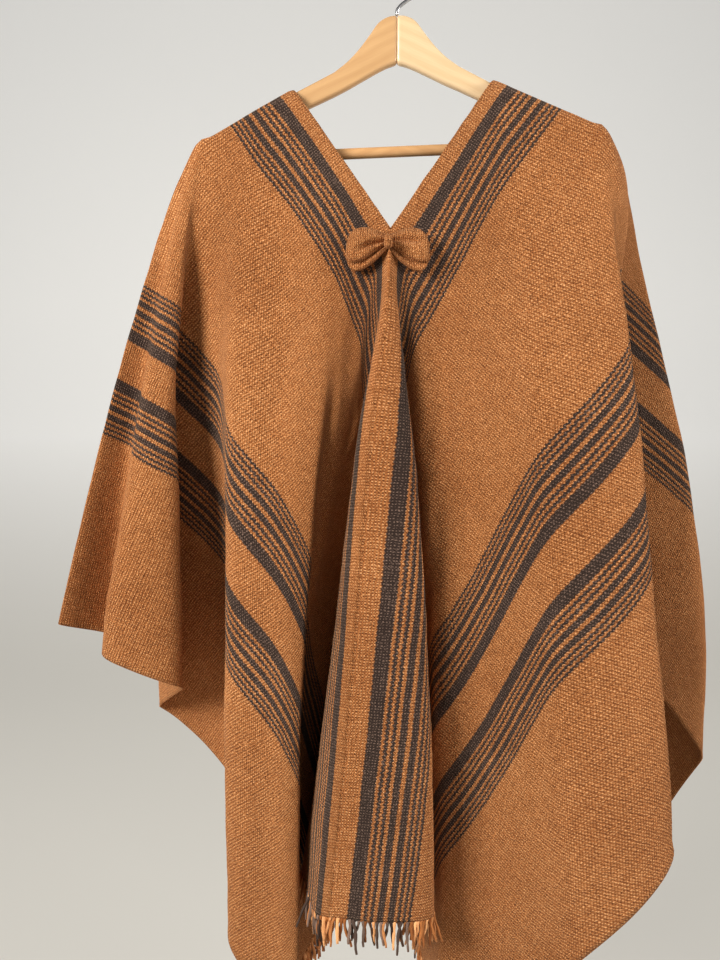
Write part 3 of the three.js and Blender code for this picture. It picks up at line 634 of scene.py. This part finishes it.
def make_bar(name):
    """The round trouser bar between the arms' tips."""
    ends = []
    for panel in ("left", "right"):
        neck, shoulder, side = (CORNERS[panel][k] for k in ("neck", "shoulder", "side"))
        x = abs(shoulder[0]) - TIP_LENGTH - 0.6
        share = (x - abs(neck[0])) / (abs(shoulder[0]) - abs(neck[0]))
        ends.append(np.array([side * x, shoulder[1] * share, shoulder[2] - BAR_DROP]))
    path = [ends[0] + (ends[1] - ends[0]) * k / 24 for k in range(25)]
    bm = bmesh.new()
    add_loft(bm, sweep(path, np.full(25, BAR_RADIUS - 0.02), 40))
    return finish_lofts(name, bm)


def make_hook(name):
    """The hook, one wire that rises out of the wood, sways aside and curls round its seat."""
    centre = WIRE_RADIUS - HOOK_RADIUS
    foot = ARM_PROFILE[0][1] + 0.3
    turn = np.radians(np.linspace(HOOK_START, HOOK_END, 60))
    level = np.zeros(len(turn))
    curl = np.stack([HOOK_RADIUS * np.cos(turn), level, centre + HOOK_RADIUS * np.sin(turn)], 1)
    rise = np.array([(0, 0, foot), (0, 0, foot + 2), (0, 0, foot + 5)], float)
    into = [(1 - k) ** 2 * rise[-1] + 2 * k * (1 - k) * np.array([2, 0, -43.5]) + k * k * curl[0]
            for k in np.linspace(0, 1, 10)[1:-1]]
    path = np.concatenate([rise, into, curl])
    radii = np.full(len(path), WIRE_RADIUS)
    radii[-1] = WIRE_RADIUS * 0.55
    bm = bmesh.new()
    add_loft(bm, sweep(path, radii, 20))
    return finish_lofts(name, bm)


# Sewing
STITCH_STEP = 8.5
STITCH_SLANT = 5.5
STITCH_RADII = [0.2, 0.36, 0.42, 0.44, 0.42, 0.36, 0.2]


def make_stitches(name, points_by_panel):
    """The yarn that joins the panels: slanted stitches over the seam, front and back."""
    bm = bmesh.new()
    right, left = points_by_panel["right"], points_by_panel["left"]
    facing = outward(right, 1)[:, 0] + outward(left, -1)[:, 0]
    for end in (1, -1):
        places = np.arange(NECK_SLIT + 5, HALF_LENGTH - 6, STITCH_STEP)
        for k, along in enumerate(places):
            row = int(np.argmin(np.abs(ALONG - end * along)))
            lower = int(np.argmin(np.abs(ALONG - end * (along + STITCH_SLANT))))
            stand = facing[row] / np.linalg.norm(facing[row])
            begin, finish = left[row, 0], right[lower, 0]
            way = finish - begin
            across = right[row, 1] - left[row, 1]
            across /= np.linalg.norm(across)
            spread = 1.3 + 0.2 * math.sin(k * 2.1)
            path = []
            for t in np.linspace(0, 1, len(STITCH_RADII)):
                path.append(begin + way * t + across * (t - 0.5) * 2 * spread
                            + stand * (0.4 * math.sin(t * math.pi) - 0.25))
            add_loft(bm, sweep(path, STITCH_RADII, 6), (0.2, along * MM))
    return finish_lofts(name, bm)


class Number:
    """A value in a material's nodes that can be used in sums like any number."""

    def __init__(self, tree, socket):
        self.tree = tree
        self.socket = socket

    def node(self, kind, settings=None, **values):
        """Any other node: its settings first, then the values or links of its inputs."""
        made = self.tree.nodes.new(kind)
        for key, value in (settings or {}).items():
            setattr(made, key, value)
        for key, value in values.items():
            socket = made.inputs[int(key[1:])] if key[1:].isdigit() else made.inputs[key.replace("_", " ")]
            if isinstance(value, Number):
                self.tree.links.new(value.socket, socket)
            else:
                socket.default_value = value
        return made

    def sum(self, operation, *others, clamp=False):
        terms = {f"i{k}": term for k, term in enumerate((self,) + others)}
        made = self.node("ShaderNodeMath", {"operation": operation, "use_clamp": clamp}, **terms)
        return Number(self.tree, made.outputs[0])

    def __add__(self, other):
        return self.sum("ADD", other)

    __radd__ = __add__

    def __sub__(self, other):
        return self.sum("SUBTRACT", other)

    def __rsub__(self, other):
        return self * -1 + other

    def __mul__(self, other):
        return self.sum("MULTIPLY", other)

    def clamp(self):
        return self.sum("ADD", 0.0, clamp=True)

    def sin(self):
        return self.sum("SINE")

    def above(self, edge, blur):
        """0 below the edge and 1 above it, with a slope as wide as the blur."""
        return self.sum("SUBTRACT", edge - blur / 2).sum("DIVIDE", blur, clamp=True)

    def between(self, low, high, blur):
        return self.above(low, blur) * (1 - self.above(high, blur))


def new_material(name):
    material = bpy.data.materials.new(name)
    material.use_nodes = True
    tree = material.node_tree
    return material, tree, tree.nodes["Principled BSDF"]


def blend(tree, share, low, high):
    """A colour between two others."""
    made = Number(tree, None).node("ShaderNodeMix", {"data_type": "RGBA"}, Factor=share, i6=low, i7=high)
    return Number(tree, made.outputs[2])


def noise(tree, vector, scale, detail=2.0, rough=0.5):
    values = {"Vector": vector, "Scale": scale, "Detail": detail, "Roughness": rough}
    made = Number(tree, None).node("ShaderNodeTexNoise", None, **values)
    return Number(tree, made.outputs[0])


def split(tree, vector):
    made = Number(tree, None).node("ShaderNodeSeparateXYZ", None, i0=vector)
    return [Number(tree, made.outputs[k]) for k in range(3)]


def joined(tree, x, y, z=0.0):
    made = Number(tree, None).node("ShaderNodeCombineXYZ", None, X=x, Y=y, Z=z)
    return Number(tree, made.outputs[0])


def add_bump(tree, shader, height, distance, strength=1.0):
    values = {"Strength": strength, "Distance": distance, "Height": height}
    bump = Number(tree, None).node("ShaderNodeBump", None, **values)
    tree.links.new(bump.outputs[0], shader.inputs["Normal"])


# Stripes, in millimetres from where their group begins. The fine ones waver from pick to pick. One
# group begins near the inner selvedge, and two more on either side of the plain middle band.
STRIPES = [
    (0, 13, False), (15.8, 19.2, True), (22.0, 25.5, True), (28.8, 35.2, False), (39.2, 45.6, False),
    (48.3, 51.6, True), (53.9, 57.0, True), (59.3, 62.2, True),
]
EDGE_GROUP = 17.0
MIDDLE_GROUP = 355.5
MIDDLE_PLAIN = 21.5
BETWEEN_GROUPS = 180.0
# The deep and light colours stand for darker and paler yarn, and also for painted shade in the weave's gaps
# and painted highlight on its raised yarns.
CARAMEL = (0.47, 0.170, 0.050, 1)
CARAMEL_PALE_YARN_AND_HIGHLIGHT = (0.95, 0.48, 0.205, 1)
CARAMEL_DARK_YARN_AND_GAP_SHADE = (0.165, 0.048, 0.013, 1)
CHARCOAL = (0.036, 0.022, 0.017, 1)
CHARCOAL_FLECK_AND_HIGHLIGHT = (0.25, 0.16, 0.12, 1)
YARN = 3.0
BOW_YARN = 2.3
ZIGZAG = 5.6


def stripe_share(tree, out, down, slip, weave):
    """How much of the dark yarn shows at a place of the cut."""
    wobble = (noise(tree, joined(tree, out * 0.01, down * 0.02), 1.0) - 0.5) * 2.0
    middle = (out - MIDDLE_GROUP).sum("ABSOLUTE") - MIDDLE_PLAIN
    far = out.above(BETWEEN_GROUPS, 1.0)
    inside = (out - EDGE_GROUP) * (1 - far) + middle * far + wobble
    zigzag = ((down + slip) * (2 * math.pi / ZIGZAG)).sin() * 0.6 + weave * 0.55
    fine_edge, wide_edge = inside + zigzag, inside + zigzag * 0.6
    return sum(fine_edge.between(low, high, 1.0) if fine else wide_edge.between(low, high, 0.9)
               for low, high, fine in STRIPES).clamp()


def make_wool(name, striped, fringe=False, yarn=YARN):
    """Handwoven wool: striped by the place in the cut, with a raised weave and uneven yarns; its colour is
    darker in the weave's gaps as painted shade and paler on the raised yarns as painted highlight.
    """
    material, tree, shader = new_material(name)
    start = Number(tree, None)
    cut = Number(tree, start.node("ShaderNodeUVMap", {"uv_map": "cut"}).outputs[0])
    place = Number(tree, start.node("ShaderNodeTexCoord").outputs["Object"])
    across, along, _ = split(tree, cut)
    out, down = across * 1000, along * 1000
    slip = (noise(tree, joined(tree, out * 0.16, down * 0.12), 1.0, 1.0) - 0.5) * 3.0
    beads = ((out + slip) * (2 * math.pi / (yarn * 0.88))).sin()
    rows = ((down + slip) * (2 * math.pi / yarn)).sin()
    weave = rows * 0.36 + beads * 0.14 + beads * rows * 0.50
    raised = weave * 0.76 + 0.5
    yarns = noise(tree, joined(tree, out * (1 / yarn), down * 0.05), 1.0, 1.0)
    picks = noise(tree, joined(tree, out * 0.05, down * (1 / yarn)), 1.0, 1.0)
    flecks = noise(tree, joined(tree, out * 0.55, down * 0.42), 1.0, 2.0, 0.6)
    patches = noise(tree, place, 7.0, 2.0)
    fibres = noise(tree, joined(tree, out * 2.6, down * 1.4), 1.0, 3.0, 0.7)
    # The raised weave darkens the colour in its gaps as painted shade and lightens the yarn tops as painted
    # highlight; the other terms are the yarns' own uneven tone.
    tone_and_weave_shade = (raised * 0.66 + flecks.above(0.5, 0.3) * 0.44 + (yarns - 0.5) * 0.36 + (picks - 0.5) * 0.3
            + (patches - 0.5) * 0.3 + (fibres - 0.5) * 0.8 - 0.10)
    colour = blend(tree, tone_and_weave_shade.above(0.30, 0.5), CARAMEL_DARK_YARN_AND_GAP_SHADE, CARAMEL)
    colour = blend(tree, tone_and_weave_shade.above(0.78, 0.5), colour, CARAMEL_PALE_YARN_AND_HIGHLIGHT)
    if striped:
        charcoal = blend(tree, (tone_and_weave_shade * 1.15).above(0.82, 0.6), CHARCOAL, CHARCOAL_FLECK_AND_HIGHLIGHT)
        colour = blend(tree, stripe_share(tree, out, down, slip, weave), colour, charcoal)
    tree.links.new(colour.socket, shader.inputs["Base Color"])
    if fringe:
        add_bump(tree, shader, fibres * 0.6 + flecks * 0.4, 0.0008)
    else:
        height = raised * 0.7 + flecks.above(0.5, 0.3) * 0.3 + (yarns - 0.5) * 0.4 + (fibres - 0.5) * 0.4
        add_bump(tree, shader, height, 0.0014)
    shader.inputs["Roughness"].default_value = 0.92
    shader.inputs["Sheen Weight"].default_value = 0.1
    shader.inputs["Sheen Roughness"].default_value = 0.45
    shader.inputs["Sheen Tint"].default_value = (1.0, 0.74, 0.50, 1)
    shader.inputs["Specular IOR Level"].default_value = 0.12
    return material


def make_wood(name, light, dark):
    """Varnished pale wood with its grain along the hanger."""
    material, tree, shader = new_material(name)
    place = Number(tree, Number(tree, None).node("ShaderNodeTexCoord").outputs["Object"])
    x, y, z = split(tree, place)
    drift = noise(tree, joined(tree, x * 6, y * 20, z * 14), 1.0, 2.0) - 0.5
    level = z + x.sum("ABSOLUTE") * 0.45
    rings = ((level * 520 + y * 260 + drift * 9).sin() * 0.5 + 0.5)
    pores = noise(tree, joined(tree, x * 40, y * 900, level * 900), 1.0, 3.0, 0.6)
    share = (rings * 0.26 + pores * 0.5 + drift * 0.4).clamp()
    colour = blend(tree, share, light, dark)
    tree.links.new(colour.socket, shader.inputs["Base Color"])
    tree.links.new((0.30 + pores * 0.2).socket, shader.inputs["Roughness"])
    add_bump(tree, shader, pores, 0.00012, 0.5)
    shader.inputs["Coat Weight"].default_value = 0.35
    shader.inputs["Coat Roughness"].default_value = 0.18
    return material


def make_steel(name):
    """Bright wire with faint marks of wear."""
    material, tree, shader = new_material(name)
    place = Number(tree, Number(tree, None).node("ShaderNodeTexCoord").outputs["Object"])
    marks = noise(tree, place, 420.0, 2.0)
    colour = blend(tree, marks, (0.62, 0.62, 0.63, 1), (0.78, 0.78, 0.79, 1))
    tree.links.new(colour.socket, shader.inputs["Base Color"])
    tree.links.new((0.16 + marks * 0.14).socket, shader.inputs["Roughness"])
    shader.inputs["Metallic"].default_value = 1.0
    return material


wool = make_wool("striped wool", True)
bow_wool = make_wool("bow wool", False, yarn=BOW_YARN)
fringe_wool = make_wool("fringe wool", True, True)
# The two arms are one wood in two copies: the left arm's darker colours are painted shade and the right
# arm's paler colours are painted light, for the way each arm turns to the lamp.
arm_wood_painted_shade_left = make_wood("wood of the left arm in painted shade", (0.70, 0.43, 0.20, 1), (0.50, 0.26, 0.10, 1))
arm_wood_painted_light_right = make_wood("wood of the right arm in painted light", (0.86, 0.64, 0.38, 1), (0.66, 0.42, 0.20, 1))
bar_wood = make_wood("wood of the bar", (0.74, 0.42, 0.18, 1), (0.52, 0.25, 0.09, 1))
steel = make_steel("bright wire")

panel_right, right_points = make_panel("right")
panel_left, left_points = make_panel("left")
points_by_panel = {"right": right_points, "left": left_points}

fringes = {}
for front_or_back, hem in (("front", HALF_LENGTH), ("back", -HALF_LENGTH)):
    for panel in ("right", "left"):
        node = f"fringe_{front_or_back}_{panel}"
        fringes[node] = make_fringe(node + "_yarn", panel, points_by_panel[panel], hem)

bows = {
    "bow_right": make_bow_piece("bow_right_loop", LOOP_SECTIONS, 1, LOOP_START, "bow_right", RIGHT_PLEATS),
    "bow_left": make_bow_piece("bow_left_loop", LOOP_SECTIONS, -1, LOOP_START, "bow_left", LEFT_PLEATS),
    "bow_knot": make_bow_piece("bow_knot_wrap", KNOT_SECTIONS, 1, 0, "bow_knot", KNOT_PLEATS),
}
arm_right = make_arm("arm_right", "right")
arm_left = make_arm("arm_left", "left")
bar = make_bar("trouser_bar")
hook = make_hook("wire_hook")
stitches = make_stitches("seam_stitches", points_by_panel)

dressed = [
    (panel_right, "panel_right", "wool_cloth", wool),
    (panel_left, "panel_left", "wool_cloth", wool),
    (arm_right, "hanger_arm_right", "hanger_wood", arm_wood_painted_light_right),
    (arm_left, "hanger_arm_left", "hanger_wood", arm_wood_painted_shade_left),
    (bar, "hanger_bar", "hanger_wood", bar_wood),
    (hook, "hanger_hook", "hook_steel", steel),
]
dressed += [(piece, node, "wool_fringe", fringe_wool) for node, piece in fringes.items()]
dressed += [(piece, node, "wool_cloth", bow_wool) for node, piece in bows.items()]
for piece, node, slot_name, material in dressed:
    piece.data.materials.append(material)
    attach(piece, "root")
    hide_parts(node)
stitches.data.materials.append(bow_wool)
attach(stitches, "root")


def make_backdrop(name):
    """One sheet that runs along the floor and curves up into the wall, darker near the floor as painted
    shade.
    """
    bend, wall, floor, width = 1.6, 3.4, -1.62, 12
    profile = [(-4.5, floor), (-2.0, floor), (0.0, floor)]
    for turn in np.linspace(0, math.pi / 2, 17):
        profile.append((wall - bend + bend * math.sin(turn), floor + bend * (1 - math.cos(turn))))
    profile += [(wall, 1.6), (wall, 5.0)]
    bm = bmesh.new()
    bmesh.ops.create_grid(bm, x_segments=1, y_segments=len(profile) - 1, size=0.5)
    for vertex in bm.verts:
        y, z = profile[round((vertex.co.y + 0.5) * (len(profile) - 1))]
        vertex.co = Vector((vertex.co.x * width, y, z))
    mesh = bpy.data.meshes.new(name)
    bm.to_mesh(mesh)
    bm.free()
    smooth_faces(mesh)
    material, tree, shader = new_material(name + " paint")
    place = Number(tree, Number(tree, None).node("ShaderNodeTexCoord").outputs["Object"])
    height = split(tree, place)[2]
    # The wall's pale colour darkens toward the floor as painted shade, and the sheet glows a little in this
    # same shaded colour.
    wall_tone_and_painted_shade = blend(tree, height.above(-1.25, 1.0), (0.36, 0.345, 0.31, 1), (0.65, 0.645, 0.625, 1))
    tree.links.new(wall_tone_and_painted_shade.socket, shader.inputs["Base Color"])
    tree.links.new(wall_tone_and_painted_shade.socket, shader.inputs["Emission Color"])
    shader.inputs["Emission Strength"].default_value = 0.6
    shader.inputs["Roughness"].default_value = 0.95
    mesh.materials.append(material)
    link(name, mesh)


make_backdrop("backdrop")


def add_light(name, place, target, size, power, colour):
    """A square lamp that faces its target."""
    data = bpy.data.lights.new(name, "AREA")
    data.size = size
    data.energy = power
    data.color = colour
    lamp = bpy.data.objects.new(name, data)
    lamp.location = place
    lamp.rotation_euler = (Vector(target) - Vector(place)).to_track_quat("-Z", "Y").to_euler()
    bpy.context.collection.objects.link(lamp)


add_light("window light", (-1.78, -1.48, 0.45), (0, 0, -0.6), 1.0, 89, (1.0, 0.97, 0.93))
add_light("room light", (1.4, -2.4, 0.8), (0, 0, -0.6), 2.2, 8, (1.0, 0.96, 0.92))
add_light("side light", (1.9, -0.55, 0.05), (0.35, 0, -0.55), 0.9, 36, (1.0, 0.97, 0.94))
add_light("back light", (1.2, 2.0, 1.2), (0, 0, -0.6), 1.6, 20, (1.0, 0.98, 0.96))
world = bpy.data.worlds.new("room")
world.use_nodes = True
world.node_tree.nodes["Background"].inputs[0].default_value = (0.80, 0.81, 0.82, 1)
world.node_tree.nodes["Background"].inputs[1].default_value = 0.09
bpy.context.scene.world = world
bpy.context.scene.view_settings.view_transform = "Standard"

camera_data = bpy.data.cameras.new("camera")
camera_data.lens = 27.04
camera_data.sensor_width = 36
camera = bpy.data.objects.new("camera", camera_data)
camera.location = (-0.039, -0.820, -0.432)
camera.rotation_euler = (math.radians(82), 0, 0)
bpy.context.collection.objects.link(camera)
bpy.context.scene.camera = camera
